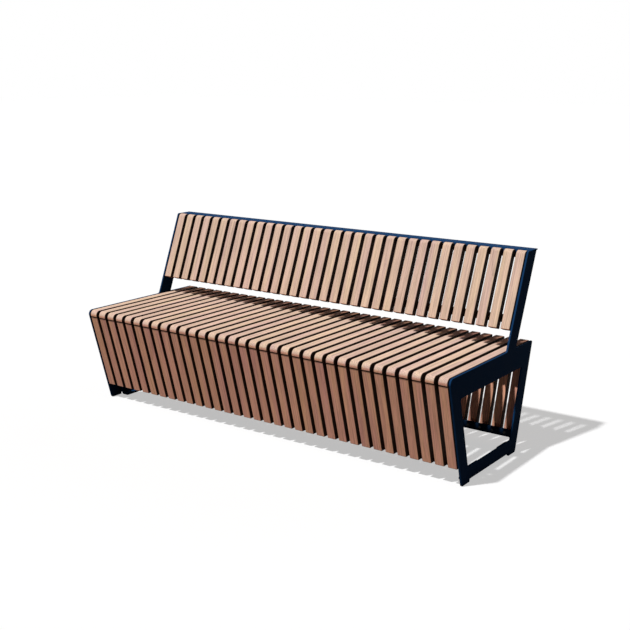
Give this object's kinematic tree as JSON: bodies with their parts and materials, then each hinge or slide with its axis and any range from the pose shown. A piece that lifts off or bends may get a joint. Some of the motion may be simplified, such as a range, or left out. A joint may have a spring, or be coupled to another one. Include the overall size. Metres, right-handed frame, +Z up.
{
  "type": "slatted public bench with backrest",
  "caption": "Free-standing public bench with an inclined backrest: timber slats on the seat, back and both leaning sides, between flat steel end plates with ground anchor lugs.",
  "frame": {"origin": "on the ground, in the middle of the four ground anchor holes, half way along the bench", "axes": "+X along the bench to a viewer's right when seen from the front, +Y to the rear, +Z up"},
  "size_m": [1.9, 0.6999, 0.832],
  "materials": {
    "timber": "oiled hardwood, satin",
    "frame_paint": "fine-textured powder coat, dark blue",
    "fixings": "black-coated steel screws, satin"
  },
  "bodies": {
    "root": {"anchor_bracket_left_front": "frame_paint", "anchor_bracket_left_rear": "frame_paint", "anchor_bracket_right_front": "frame_paint", "anchor_bracket_right_rear": "frame_paint", "back_cap_rail": "frame_paint", "back_rail_lower": "frame_paint", "back_slat_screws": "fixings", "back_slats_01": "timber", "back_slats_02": "timber", "back_slats_03": "timber", "back_slats_04": "timber", "back_slats_05": "timber", "back_slats_06": "timber", "back_slats_07": "timber", "back_slats_08": "timber", "back_slats_09": "timber", "cap_screws": "fixings", "end_plate_left": "frame_paint", "end_plate_right": "frame_paint", "front_panel_rail_lower": "frame_paint", "front_panel_rail_upper": "frame_paint", "front_slat_screws": "fixings", "front_slats_01": "timber", "front_slats_02": "timber", "front_slats_03": "timber", "front_slats_04": "timber", "front_slats_05": "timber", "front_slats_06": "timber", "front_slats_07": "timber", "front_slats_08": "timber", "front_slats_09": "timber", "rear_panel_rail_lower": "frame_paint", "rear_panel_rail_upper": "frame_paint", "rear_slat_screws": "fixings", "rear_slats_01": "timber", "rear_slats_02": "timber", "rear_slats_03": "timber", "rear_slats_04": "timber", "rear_slats_05": "timber", "rear_slats_06": "timber", "rear_slats_07": "timber", "rear_slats_08": "timber", "rear_slats_09": "timber", "seat_rail_front": "frame_paint", "seat_rail_middle": "frame_paint", "seat_rail_rear": "frame_paint", "seat_slat_screws": "fixings", "seat_slats_01": "timber", "seat_slats_02": "timber", "seat_slats_03": "timber", "seat_slats_04": "timber", "seat_slats_05": "timber", "seat_slats_06": "timber", "seat_slats_07": "timber", "seat_slats_08": "timber", "seat_slats_09": "timber"}
  },
  "joints": []
}
